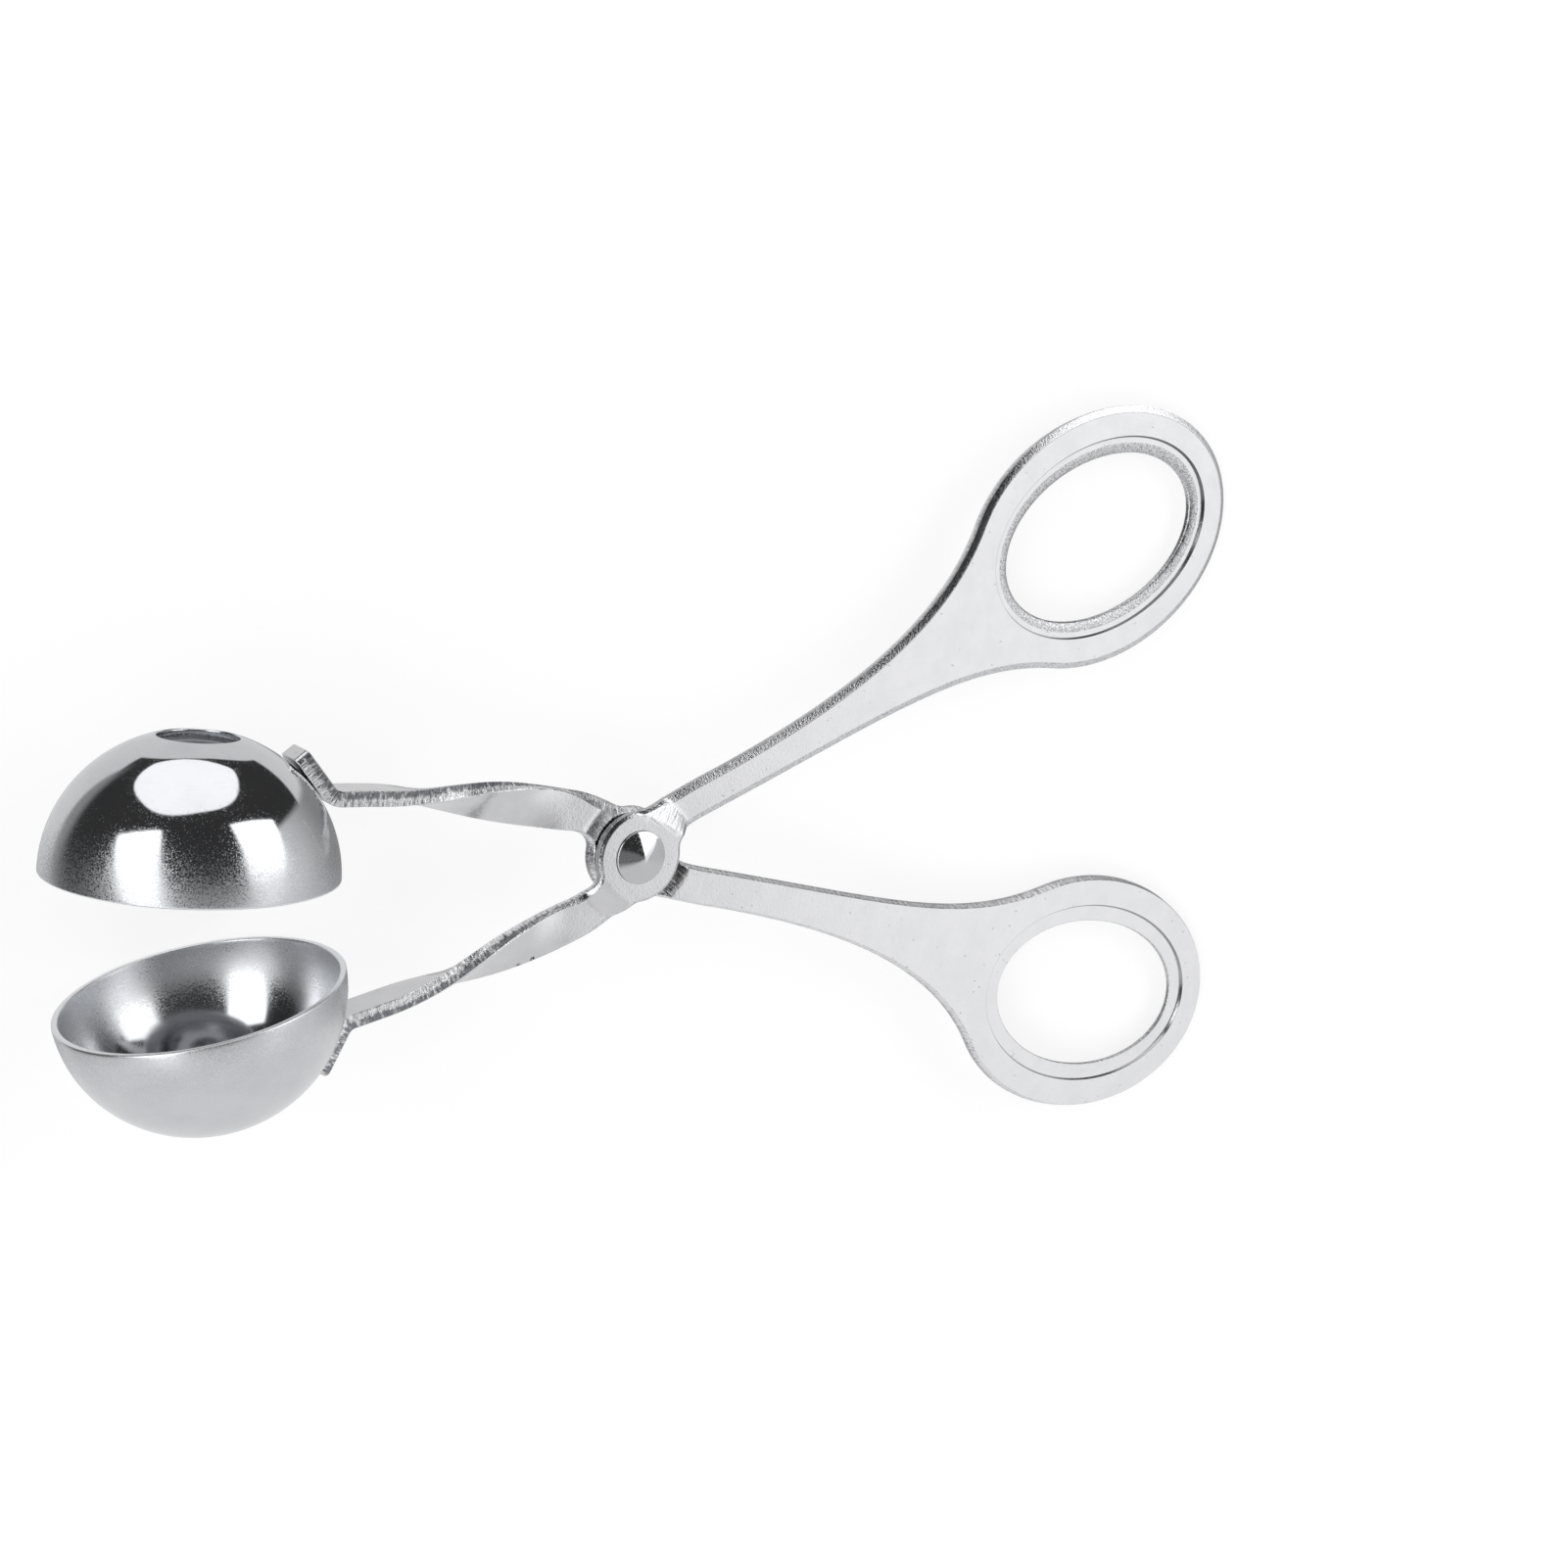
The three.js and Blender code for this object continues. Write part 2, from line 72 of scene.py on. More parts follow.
class Wire:
    def __init__(self, tree, socket=None):
        self.tree = tree
        self.socket = socket

    def node(self, kind, settings=None, sockets=None, out=0):
        made = self.tree.nodes.new(kind)
        for name, value in (settings or {}).items():
            setattr(made, name, value)
        for name, value in (sockets or {}).items():
            if isinstance(value, Wire):
                self.tree.links.new(value.socket, made.inputs[name])
            else:
                made.inputs[name].default_value = value
        return Wire(self.tree, made.outputs[out]) if len(made.outputs) else None

    def maths(self, operation, first, second=0.0):
        return self.node("ShaderNodeMath", {"operation": operation}, {0: first, 1: second})

    def __add__(self, other):
        return self.maths("ADD", self, other)

    def __sub__(self, other):
        return self.maths("SUBTRACT", self, other)

    def __rsub__(self, other):
        return self.maths("SUBTRACT", other, self)

    def __mul__(self, other):
        return self.maths("MULTIPLY", self, other)

    def __truediv__(self, other):
        return self.maths("DIVIDE", self, other)

    def __pow__(self, other):
        return self.maths("POWER", self, other)

    __radd__ = __add__
    __rmul__ = __mul__

    def greatest(self, other):
        return self.maths("MAXIMUM", self, other)

    def ramp(self, low, high):  # 0 at low, 1 at high, eased
        return self.node("ShaderNodeMapRange", {"interpolation_type": "SMOOTHSTEP"},
                         {"Value": self, "From Min": low, "From Max": high})

    def blend(self, low, high):  # two shades, each a wire or a plain colour
        low, high = (shade if isinstance(shade, Wire) else (*shade, 1) for shade in (low, high))
        return self.node("ShaderNodeMix", {"data_type": "RGBA"},
                         {"Factor": self, "A": low, "B": high}, "Result")


def startSurface(name):
    material = bpy.data.materials.new(name)
    material.use_nodes = True
    material.node_tree.nodes.clear()
    return material, Wire(material.node_tree)


def closeSteel(material, start, finish, shade, rough, height):
    # the metal is a constant on the shader, what varies is linked
    relief = start.node("ShaderNodeBump", {},
                        {"Strength": finish["relief"], "Distance": finish["depth"] * mm, "Height": height})
    steel = start.node("ShaderNodeBsdfPrincipled", {},
                       {"Metallic": 1.0, "Base Color": shade, "Roughness": rough, "Normal": relief})
    start.node("ShaderNodeOutputMaterial", {}, {"Surface": steel})
    return material


def grainAt(start, coordinates, perMm, detail=2.0):
    return start.node("ShaderNodeTexNoise", {"noise_dimensions": "3D"},
                      {"Vector": coordinates, "Scale": perMm, "Detail": detail, "Roughness": 0.6})


def bodySpace(start):  # object coordinates in millimetres
    place = start.node("ShaderNodeTexCoord", out="Object")
    return start.node("ShaderNodeVectorMath", {"operation": "SCALE"}, {0: place, "Scale": 1 / mm})


def markOn(start, name):  # a number kept on the mesh
    return start.node("ShaderNodeAttribute", {"attribute_name": name}, out="Fac")


# inside: steel lightened beyond its own colour, painted light on the hollow's walls and rim;
# deepPaintedShade: painted shade at the polished bottom of the hollow
bowlFinish = {"bright": (0.686, 0.696, 0.718), "dull": (0.634, 0.647, 0.674), "inside": (0.87, 0.88, 0.9),
              "deepPaintedShade": (0.5, 0.51, 0.53), "polished": 0.05, "satin": 0.06, "hollowSatin": 0.08,
              "hollowBlur": 0.05, "specks": 0.37, "hollowSpecks": 0.5, "sown": 0.27, "grain": 6.5,
              "streaks": (20.0, 150.0, 1.0), "blotches": 0.16, "relief": 0.6, "depth": 0.05}


def makeBowlSteel():
    material, start = startSurface("bowlSteel")
    space = bodySpace(start)
    polishAndShade, hollow = markOn(start, "polishAndShade"), markOn(start, "hollow")
    around = start.node("ShaderNodeUVMap", {"uv_map": "turnedMap"})
    drawn = start.node("ShaderNodeMapping", {}, {"Vector": around, "Scale": bowlFinish["streaks"]})
    grain = grainAt(start, space, bowlFinish["grain"], 3.0)
    streak = grainAt(start, drawn, 1.0)
    blotch = grainAt(start, space, bowlFinish["blotches"], 3.0)
    matt = 1 - polishAndShade
    sown = grain * 0.9 + streak * 0.1 + matt * bowlFinish["sown"]  # thicker towards the rim
    speck = sown.ramp(0.6, 0.81)
    satin = bowlFinish["polished"] + matt * (bowlFinish["satin"] - bowlFinish["polished"])
    specked = speck * bowlFinish["specks"] * (1 - hollow * bowlFinish["hollowSpecks"])
    hazed = hollow * (matt * bowlFinish["hollowSatin"] + bowlFinish["hollowBlur"])
    rough = (satin + specked + hazed + (blotch - 0.5) * 0.03).greatest(0.015)
    wear = (blotch * 0.8 + streak * 0.2 - speck * 0.12).ramp(0.3, 0.62)
    outside = wear.blend(bowlFinish["dull"], bowlFinish["bright"])
    # painted light and shade inside the hollow: the satin walls and rim are lightened, the polished bottom is
    # darkened
    shade = hollow.blend(outside, polishAndShade.blend(bowlFinish["inside"], bowlFinish["deepPaintedShade"]))
    height = (matt * 0.4 + 0.03) * (grain + streak * 0.4) - speck * 0.15
    return closeSteel(material, start, bowlFinish, shade, rough, height)


# the near-black colour here is painted shade for the step corners round the loop and for the roll's inner
# line
faceFinish = {"bright": (0.71, 0.711, 0.722), "dull": (0.66, 0.662, 0.68), "paintedStepShade": (0.12, 0.12, 0.13),
              "paintedStepShadeStrength": 0.85, "satin": 0.2, "grain": 3.2, "blotches": 0.22, "pits": 0.9, "creaseTurn": -40,
              "creaseDrawn": (0.5, 3.2, 1), "creaseRelief": 6.5, "relief": 0.3, "depth": 0.06}


def makeFaceSteel():
    material, start = startSurface("faceSteel")
    space = bodySpace(start)
    flat = start.node("ShaderNodeUVMap", {"uv_map": "sheetMap"})  # millimetres on the flat sheet
    grain = grainAt(start, space, faceFinish["grain"])
    blotch = grainAt(start, space, faceFinish["blotches"], 4.0)
    spots = start.node("ShaderNodeTexVoronoi", {"feature": "F1"},
                       {"Vector": space, "Scale": faceFinish["pits"]}, "Distance")
    sparse = grainAt(start, space, 0.5, 1.0)
    pit = (1 - spots.ramp(0.06, 0.18)) * sparse.ramp(0.53, 0.64)
    slanted = (0, 0, math.radians(faceFinish["creaseTurn"]))
    turned = start.node("ShaderNodeMapping", {}, {"Vector": flat, "Rotation": slanted})
    drawn = start.node("ShaderNodeMapping", {}, {"Vector": turned, "Scale": faceFinish["creaseDrawn"]})
    hatch = grainAt(start, drawn, 1.0, 3.0)
    crease, paintedGrooveShade = markOn(start, "crease"), markOn(start, "paintedGrooveShade")
    wear = (blotch.ramp(0.3, 0.7) - pit * 0.9).greatest(0.0)
    shade = wear.blend(faceFinish["dull"], faceFinish["bright"])
    # painted shade: the face is darkened towards near-black where the groove mark lies, in the step corners
    # and along the roll's inner line
    shade = (paintedGrooveShade * faceFinish["paintedStepShadeStrength"]).blend(shade, faceFinish["paintedStepShade"])
    stroke = crease * hatch.ramp(0.5, 0.66)
    rough = faceFinish["satin"] + (blotch - 0.5) * 0.12 + (grain - 0.5) * 0.1 + pit * 0.2
    rough = rough - crease * 0.08 + stroke * 0.3
    height = grain - pit * 1.5 + crease * hatch * faceFinish["creaseRelief"]
    return closeSteel(material, start, faceFinish, shade, rough, height)


edgeFinish = {"torn": (0.2, 0.205, 0.225), "burnished": (0.84, 0.842, 0.855), "striation": (1.9, 0.3, 1),
              "stroke": (2.6, 0.7, 1), "slant": 0.5, "patches": 0.25, "armFrom": (-18.0, -30.0),
              "relief": 1.0, "depth": 0.35}


def makeEdgeSteel():
    material, start = startSurface("edgeSteel")
    along = start.node("ShaderNodeUVMap", {"uv_map": "sheetMap"})  # along the edge and through the sheet
    drawn = start.node("ShaderNodeMapping", {}, {"Vector": along, "Scale": edgeFinish["striation"]})
    striation = grainAt(start, drawn, 1.0, 4.0)
    slanted = {"Vector": along, "Rotation": (0, 0, edgeFinish["slant"]), "Scale": edgeFinish["stroke"]}
    stroke = grainAt(start, start.node("ShaderNodeMapping", {}, slanted), 1.0, 2.0)
    patches = grainAt(start, along, edgeFinish["patches"], 2.0)
    through = start.node("ShaderNodeSeparateXYZ", {}, {"Vector": along}, "Y")
    torn = (through + (striation - 0.5) * 1.2).ramp(-0.35, 0.35)
    place = start.node("ShaderNodeSeparateXYZ", {}, {"Vector": bodySpace(start)}, "X")
    onArm = place.ramp(*edgeFinish["armFrom"])
    marked = torn * 0.45 + 0.3 + (stroke - 0.5) * 1.6 + (patches - 0.5) * 1.1
    dark = marked.ramp(0.32, 0.78) * (onArm * 0.45 + 0.5)
    shade = dark.blend(edgeFinish["burnished"], edgeFinish["torn"])
    rough = 0.2 + torn * 0.12 + (patches - 0.5) * 0.2
    height = striation * 0.8 + stroke * 0.5 * torn
    return closeSteel(material, start, edgeFinish, shade, rough, height)


lipFinish = {"name": "lipSteel", "bright": (0.7, 0.702, 0.715), "dull": (0.32, 0.325, 0.345), "sand": 3.2,
             "rough": 0.2, "relief": 0.9, "depth": 0.1}
rollFinish = {"name": "rollSteel", "bright": (0.74, 0.742, 0.755), "dull": (0.5, 0.505, 0.53), "sand": 2.8,
              "rough": 0.13, "relief": 0.6, "depth": 0.1}


def makeSandSteel(finish):
    material, start = startSurface(finish["name"])
    space = bodySpace(start)
    sand = grainAt(start, space, finish["sand"], 4.0)
    fine = grainAt(start, space, finish["sand"] * 2.0, 1.0)
    shade = (sand * 0.7 + fine * 0.3).ramp(0.36, 0.58).blend(finish["dull"], finish["bright"])
    rough = finish["rough"] + (sand - 0.5) * 0.3
    height = sand * 0.7 + fine * 0.3
    return closeSteel(material, start, finish, shade, rough, height)


rivetFinish = {"bright": (0.6, 0.607, 0.625), "dark": (0.1, 0.1, 0.11), "polished": 0.03, "grain": 2.2,
               "specks": 6.0, "relief": 0.05, "depth": 0.03}


def makeRivetSteel():
    material, start = startSurface("rivetSteel")
    space = bodySpace(start)
    grain = grainAt(start, space, rivetFinish["grain"])
    polishAndShade = markOn(start, "polishAndShade")
    # painted shade: where the mark is 0, on the head's rim side and on the hidden tail and shank, the colour
    # goes near-black
    shade = (polishAndShade - (grain - 0.5) * 0.1).blend(rivetFinish["dark"], rivetFinish["bright"])
    speck = grainAt(start, space, rivetFinish["specks"]).ramp(0.55, 0.68)
    rough = rivetFinish["polished"] + speck * 0.3 + (1 - polishAndShade) * 0.25
    return closeSteel(material, start, rivetFinish, shade, rough, grain)


bowlSteel = makeBowlSteel()
faceSteel = makeFaceSteel()
edgeSteel = makeEdgeSteel()
lipSteel = makeSandSteel(lipFinish)
rollSteel = makeSandSteel(rollFinish)
rivetSteel = makeRivetSteel()
print("finishes made")


# Turned pieces: a profile of radius and height, carried round the axis by one node tree

def makeTurningTree():
    tree = bpy.data.node_groups.new("turnedPiece", "GeometryNodeTree")
    face = tree.interface
    face.new_socket("Profile", in_out="INPUT", socket_type="NodeSocketGeometry")
    steps = face.new_socket("Steps", in_out="INPUT", socket_type="NodeSocketInt")
    finish = face.new_socket("Finish", in_out="INPUT", socket_type="NodeSocketMaterial")
    face.new_socket("Piece", in_out="OUTPUT", socket_type="NodeSocketGeometry")
    start = Wire(tree)
    given = start.node("NodeGroupInput")
    profile, stepCount, material = (Wire(tree, given.socket.node.outputs[i]) for i in range(3))
    size = start.node("GeometryNodeAttributeDomainSize", {"component": "MESH"},
                      {"Geometry": profile}, "Point Count")
    grid = start.node("GeometryNodeMeshGrid", {}, {"Vertices X": stepCount + 1, "Vertices Y": size})
    gridMap = Wire(tree, grid.socket.node.outputs["UV Map"])
    index = start.node("GeometryNodeInputIndex")
    row = index.maths("MODULO", index, size)
    turn = index.maths("FLOOR", index / size) / stepCount * math.tau
    place = start.node("GeometryNodeInputPosition")
    drawn = start.node("GeometryNodeSampleIndex", {"data_type": "FLOAT_VECTOR", "domain": "POINT"},
                       {"Geometry": profile, "Value": place, "Index": row})
    radius = start.node("ShaderNodeSeparateXYZ", {}, {"Vector": drawn}, "X")
    height = Wire(tree, radius.socket.node.outputs["Y"])
    across = radius * turn.maths("COSINE", turn)
    along = radius * turn.maths("SINE", turn)
    spot = start.node("ShaderNodeCombineXYZ", {}, {"X": across, "Y": along, "Z": height})
    marked = start.node("GeometryNodeStoreNamedAttribute", {"data_type": "FLOAT2", "domain": "CORNER"},
                        {"Geometry": grid, "Name": "turnedMap", "Value": gridMap})
    for name in ("polishAndShade", "hollow"):
        mark = start.node("GeometryNodeInputNamedAttribute", {"data_type": "FLOAT"}, {"Name": name})
        drawnMark = start.node("GeometryNodeSampleIndex", {"data_type": "FLOAT", "domain": "POINT"},
                               {"Geometry": profile, "Value": mark, "Index": row})
        marked = start.node("GeometryNodeStoreNamedAttribute", {"data_type": "FLOAT", "domain": "POINT"},
                            {"Geometry": marked, "Name": name, "Value": drawnMark})
    turned = start.node("GeometryNodeSetPosition", {}, {"Geometry": marked, "Position": spot})
    welded = start.node("GeometryNodeMergeByDistance", {}, {"Geometry": turned, "Distance": 1e-4})
    real = start.node("GeometryNodeRealizeInstances", {}, {"Geometry": welded})
    dressed = start.node("GeometryNodeSetMaterial", {}, {"Geometry": real, "Material": material})
    start.node("NodeGroupOutput", {}, {"Piece": dressed})
    return tree, steps.identifier, finish.identifier


turningTree, stepsInput, finishInput = makeTurningTree()


def turnPiece(name, profile, marks, steps, finish, place, sharpAngle):
    # profile: (radius, height) in millimetres, from pole to pole or back to its start
    drawn = bpy.data.meshes.new(name + "Profile")
    drawn.from_pydata([(radius, height, 0) for radius, height in profile], [], [])
    for mark, values in marks.items():
        drawn.attributes.new(mark, "FLOAT", "POINT").data.foreach_set("value", values)
    maker = bpy.data.objects.new(name + "Maker", drawn)
    scene.collection.objects.link(maker)
    turning = maker.modifiers.new("turning", "NODES")
    turning.node_group = turningTree
    turning[stepsInput] = steps
    turning[finishInput] = finish
    whole = bpy.data.meshes.new_from_object(maker.evaluated_get(bpy.context.evaluated_depsgraph_get()))
    bpy.data.objects.remove(maker)
    whole.name = name
    whole.transform(place)
    shape = bmesh.new()
    shape.from_mesh(whole)
    bmesh.ops.dissolve_degenerate(shape, dist=1e-9, edges=shape.edges)
    bmesh.ops.recalc_face_normals(shape, faces=shape.faces)
    shape.to_mesh(whole)
    shape.free()
    whole.shade_smooth()
    whole.set_sharp_from_angle(angle=math.radians(sharpAngle))
    piece = bpy.data.objects.new(name, whole)
    scene.collection.objects.link(piece)
    print(name, len(whole.polygons), "faces")
    return piece


def smooth(value, low, high):
    t = np.clip((value - low) / (high - low), 0, 1)
    return t * t * (3 - 2 * t)


def arcPoints(centre, radius, fromDegrees, toDegrees, steps):
    angles = np.radians(np.linspace(fromDegrees, toDegrees, steps + 1))
    return [(centre[0] + radius * math.cos(a), centre[1] + radius * math.sin(a)) for a in angles]


bowl = {"radius": 17.75, "wall": 0.8, "vent": 4.85, "reach": 61.8, "rimGap": 0.3, "edge": 0.22,
        "mirror": (0.0, 0.66), "insideMirror": (0.15, 0.62), "rimHollow": 1.3, "ventPolish": 0.5,
        "steps": 224, "rings": 72, "sharp": 40}


def makeBowl(name, body, node):
    outer, inner = bowl["radius"], bowl["radius"] - bowl["wall"]
    edge, low = bowl["edge"], bowl["rimGap"] / 2
    ventOuter = math.degrees(math.asin((bowl["vent"] + edge) / outer))
    ventInner = math.degrees(math.asin((bowl["vent"] + edge) / inner))
    rimOuter = math.degrees(math.asin((low + edge) / outer))
    rimInner = math.degrees(math.asin((low + edge) / inner))
    outside = arcPoints((0, 0), outer, 90 - ventOuter, rimOuter, bowl["rings"])
    inside = arcPoints((0, 0), inner, rimInner, 90 - ventInner, bowl["rings"])
    rim = arcPoints((outside[-1][0] - edge, low + edge), edge, -20, -90, 4)
    rim += arcPoints((inside[0][0] + edge, low + edge), edge, -90, -160, 4)
    ventFoot = (bowl["vent"] + edge * 0.3, inside[-1][1] + edge * 0.3)
    ventTop = arcPoints((bowl["vent"] + edge, outside[0][1] - edge), edge, 180, 100, 4)
    profile = outside + rim + inside + [ventFoot] + ventTop + outside[:1]
    outerShine, innerShine = (smooth(np.array([height for radius, height in arc]) / outer, *bowl[zone])
                              for arc, zone in ((outside, "mirror"), (inside, "insideMirror")))
    ventCount = len(ventTop) + 2
    polishAndShade = [*outerShine, *[0.0] * len(rim), *innerShine, *[bowl["ventPolish"]] * ventCount]
    hollow = [0.0] * len(outside) + [bowl["rimHollow"]] * len(rim) + [1.0] * len(inside) + [0.0] * ventCount
    marks = {"polishAndShade": polishAndShade, "hollow": hollow}
    toPole = Matrix.Translation((-bowl["reach"], 0, 0)) @ Matrix.Rotation(math.pi / 2, 4, "X")
    piece = turnPiece(name, profile, marks, bowl["steps"], bowlSteel, places[body] @ toPole, bowl["sharp"])
    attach(piece, body)
    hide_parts(node)


makeBowl("scoopShell", "thumb_side", "scoop_bowl")
makeBowl("capShell", "finger_side", "cap_bowl")

rivet = {"shank": 2.0, "head": 3.75, "edge": 0.18, "slopes": (0.2, 0.4), "tip": 0.6, "gap": 0.06, "tail": 3.1,
         "tailHeight": 1.0, "chamfer": 0.06, "corner": 0.17, "steps": 128, "rings": 24, "sharp": 40}


def makeRivet():
    shank, head, chamfer = rivet["shank"], rivet["head"], rivet["chamfer"]
    under = pile["sheet"] + pile["gap"] / 2 + rivet["gap"]
    cone = under + rivet["edge"]
    inner, outer = rivet["slopes"]  # of the blunt cone, at its tip and at its rim
    profile = [(0, -under - rivet["tailHeight"])]
    for turn in np.linspace(0, math.pi / 2, rivet["rings"])[1:]:
        profile.append((rivet["tail"] * math.sin(turn), -under - rivet["tailHeight"] * math.cos(turn)))
    profile += [(shank, -under), (shank, under), (head - chamfer, under), (head, under + chamfer)]
    dark = len(profile)
    corner = (head - rivet["corner"], cone - rivet["corner"] + outer * rivet["corner"] * 0.9)
    profile += arcPoints(corner, rivet["corner"], 0, 90 - math.degrees(math.atan(outer)), 8)
    for radius in np.linspace(profile[-1][0] - 0.05, 0, rivet["rings"]):
        bulge = (outer - inner) * (head ** 2 - radius ** 2) / head / 2
        rounding = inner * rivet["tip"] / 2 * max(0.0, 1 - radius / rivet["tip"]) ** 2
        profile.append((radius, cone + inner * (head - radius) + bulge - rounding))
    # the rim side of the head and everything below it are marked 0 and get painted shade and rougher steel
    polishAndShade = [0.0 if spot <= dark else 1.0 for spot in range(len(profile))]
    marks = {"polishAndShade": polishAndShade, "hollow": [0.0] * len(profile)}
    piece = turnPiece("rivetHead", profile, marks, rivet["steps"], rivetSteel, laid, rivet["sharp"])
    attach(piece, "finger_side")
    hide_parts("pivot_rivet")


makeRivet()


# Levers: one sheet each, cut flat with complex numbers for its points, then joggled, twisted and bent

sheet = {"thickness": pile["sheet"], "rollWidth": 0.95, "rollDepth": 0.38, "rollBulge": 1.12, "armRoll": 0.16,
         "burr": 0.12, "seam": 0.14, "lean": 0.35, "leanFrom": 0.25, "rollSteps": 12, "fine": 0.55,
         "clear": 0.35, "sharp": 38}
boss = {"radius": 6.4, "bore": 2.08, "gap": pile["gap"], "upperArc": (186, 80), "lowerArc": (-6, -98),
        "arcSteps": 30, "boreSteps": 48, "roll": 0.5, "rollDepth": 0.35,
        "tuck": 1.0, "tuckStart": (95, 103), "tuckEnd": (128, 145),
        "joggles": ({"turn": 52.7, "start": 5.2, "end": 8.8, "rounding": (0.1, 0.06)},
                    {"turn": 213, "start": 5.4, "end": 9.2, "rounding": (0.8, 0.12)})}
# grooves: strengths of the painted shade in the step corners, on the lower and on the upper side
loop = {"reach": 91.9, "angle": 16.9, "turn": 8.6, "long": 21.8, "short": 14.7, "arc": (148, -122),
        "band": 4.6, "lipWidth": 2.65, "lipDepth": 0.45, "lipDraft": 0.2, "lipEase": 0.07, "lipCorner": 0.1,
        "fallWidth": 1.6, "fallDepth": 0.5, "fallSteps": 8, "grooves": (0.5, 1.0), "steps": 150}
strip = {"slope": 0.19, "start": 12.5, "outer": 8.1, "width": 5.4}
arm = {"width": 5.4, "root": complex(-10.0, -6.35), "fall": 9, "level": -9.3, "twistStart": 1.0,
       "twistEnd": 29.0, "step": 0.5}
tab = {"latitude": 39, "bend": 2.2, "pastWeld": 4.0, "corner": 0.9, "weldGap": 0.04}
blends = {"armUpper": (2.4, 1.5), "stripOuter": (3.0, 4.5), "loopOuter": (35, 10.5), "loopInner": (17.5, 33),
          "stripInner": (4.4, 2.2), "armLower": (1.6, 4.5)}

sheetFinishes = (faceSteel, edgeSteel, lipSteel, rollSteel)
faceSlot, edgeSlot, lipSlot, rollSlot = range(len(sheetFinishes))


def unit(degrees):
    return cmath.rect(1, math.radians(degrees))


def loopPoint(inset, angle):
    flat = complex((loop["long"] - inset) * math.cos(angle), (loop["short"] - inset) * math.sin(angle))
    return flat * unit(loop["turn"]) + loop["reach"] * unit(loop["angle"])


def loopHeading(angle):
    ahead = loopPoint(-loop["band"], angle - 1e-3) - loopPoint(-loop["band"], angle + 1e-3)
    return ahead / abs(ahead)


# The arm's middle line: a falling curve, the bend into the tab, then the tab lying on the bowl
armHeading = -unit(arm["fall"])
armUp = armHeading * -1j
tabNormal = unit(-tab["latitude"])
tabHeading = tabNormal * -1j
weldPoint = tabNormal * (bowl["radius"] + tab["weldGap"] + sheet["thickness"] / 2) - bowl["reach"]
cornerAhead = (weldPoint.imag - arm["level"]) / tabHeading.imag
tabCorner = weldPoint - tabHeading * cornerAhead
bendAngle = math.radians(90 - tab["latitude"])
bendReach = tab["bend"] * math.tan(bendAngle / 2)
bendStart = tabCorner + bendReach
knee = arm["root"] + armHeading * ((arm["level"] - arm["root"].imag) / armHeading.imag)


def armLine():
    u = np.linspace(0, 1, 400)
    curve = (1 - u) ** 2 * arm["root"] + 2 * u * (1 - u) * knee + u ** 2 * bendStart
    turned = np.linspace(0, bendAngle, 60)[1:]
    bend = bendStart + tab["bend"] * (-np.sin(turned) - 1j * (1 - np.cos(turned)))
    straight = np.linspace(0, cornerAhead - bendReach + tab["pastWeld"], 60)[1:]
    line = np.concatenate([curve, bend, bend[-1] + tabHeading * straight])
    lengths = np.concatenate([[0], np.cumsum(np.abs(np.diff(line)))])
    headings = np.gradient(line, lengths)
    return line, lengths, headings / np.abs(headings)


armPath, armLengths, armHeadings = armLine()
armLength = armLengths[-1]


def slope(part, roundStart, roundEnd):
    # 0 to 1, straight but for its rounded ends
    places = np.linspace(0, 1, 200)
    steps = smooth(places, 0, roundStart) * (1 - smooth(places, 1 - roundEnd, 1))
    rise = np.cumsum(steps)
    return np.interp(part, places, rise / rise[-1])


def jogglePart(flat, joggle):
    # 0 up to the straight line where a slope of the joggle starts, 1 from the circle where it ends
    past = np.maximum((flat / unit(joggle["turn"])).real - joggle["start"], 0)
    left = np.maximum(joggle["end"] - np.abs(flat), 0)
    return past / (past + left + 1e-9)


def pressSheet(points):
    # flat points (n, 3) to their places on the joggled, twisted and bent lever
    flat = points[:, 0] + 1j * points[:, 1]
    z = points[:, 2]
    toRoot = (flat - arm["root"]) / armHeading
    along, across = toRoot.real, -toRoot.imag
    lift = (sheet["thickness"] + boss["gap"]) / 2
    for joggle in boss["joggles"]:
        lift = lift * (1 - slope(jogglePart(flat, joggle), *joggle["rounding"]))
    middle, heading = (np.interp(along, armLengths, line) for line in (armPath, armHeadings))
    twist = np.pi / 2 * smooth(along, arm["twistStart"], arm["twistEnd"])
    sideways = across * np.cos(twist) - z * np.sin(twist)
    upwards = across * np.sin(twist) + z * np.cos(twist)
    onArm = middle + heading * -1j * sideways
    inArm = along > 0
    spot = np.where(inArm, onArm, flat)
    return np.column_stack([spot.real, spot.imag, np.where(inArm, upwards, z + lift)])


def creaseMask(points):
    # 1 on the joggle's slope towards the strip, and on the underside of the one towards the arm
    parts = [jogglePart(points[:, 0] + 1j * points[:, 1], joggle) for joggle in boss["joggles"]]
    toStrip, toArm = (smooth(part, 0, 0.1) * (1 - smooth(part, 0.8, 1)) for part in parts)
    return np.maximum(toStrip, toArm * (points[:, 2] < 0))


